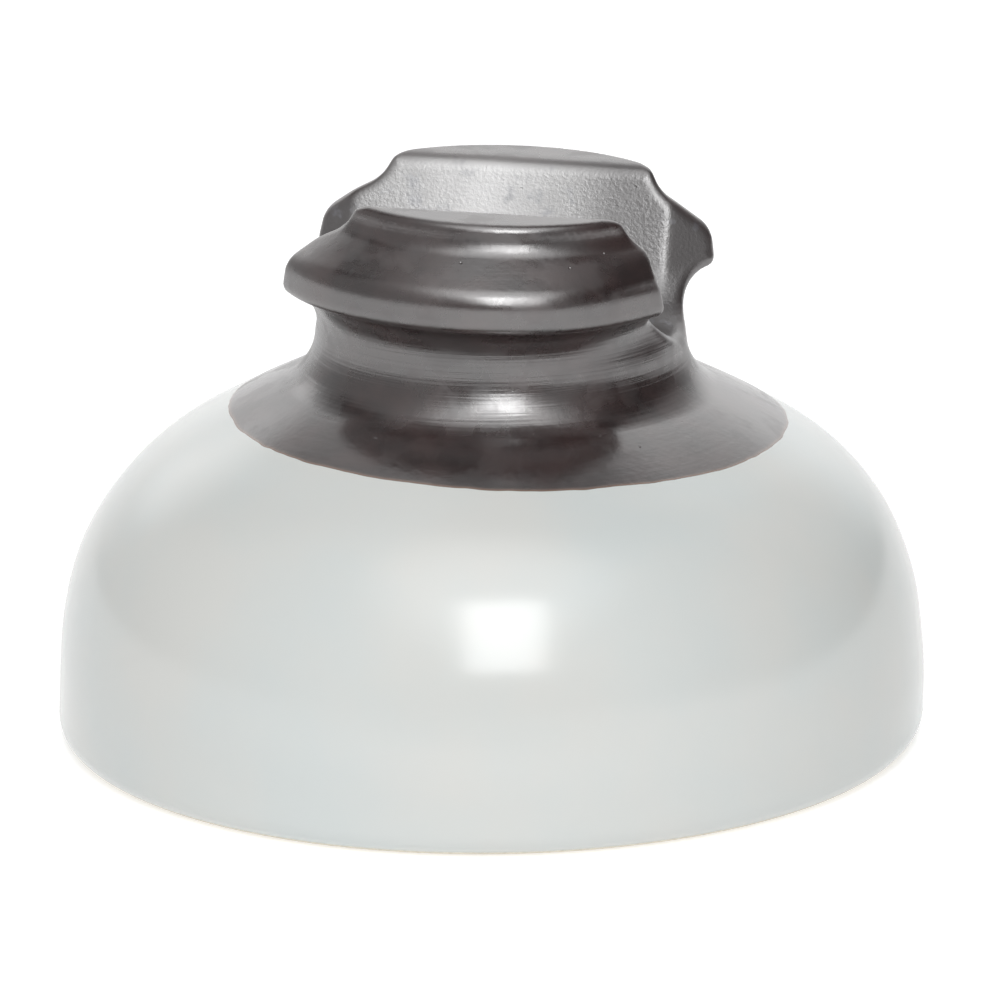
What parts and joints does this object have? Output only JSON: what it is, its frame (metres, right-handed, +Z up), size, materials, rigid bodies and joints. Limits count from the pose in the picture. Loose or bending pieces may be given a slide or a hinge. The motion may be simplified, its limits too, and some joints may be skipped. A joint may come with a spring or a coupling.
{
  "type": "pin insulator",
  "caption": "Porcelain pin-type insulator: wide domed skirt, tie-wire neck and a head split by a conductor groove, with a threaded pin hole underneath.",
  "frame": {"origin": "middle of the foot ring, on the plane the insulator stands on", "axes": "+Z up through the head, conductor groove along X, flat lands of the head on the +Y and -Y sides"},
  "size_m": [0.178, 0.178, 0.114],
  "materials": {
    "bisque": "unglazed fired porcelain, matt",
    "brown_glaze": "semiconducting dark brown glaze, satin gloss",
    "white_glaze": "cool white feldspar glaze, gloss",
    "zinc": "die-cast zinc, dull grey",
    "cement": "Portland cement, matt",
    "cork": "pressed cork sheet"
  },
  "bodies": {
    "root": {"porcelain_body": "bisque", "head_glaze": "brown_glaze", "pin_hole_glaze": "brown_glaze", "skirt_glaze": "white_glaze", "underside_glaze": "white_glaze", "thimble": "zinc", "thimble_cement": "cement", "cushion_disc": "cork"}
  },
  "joints": []
}
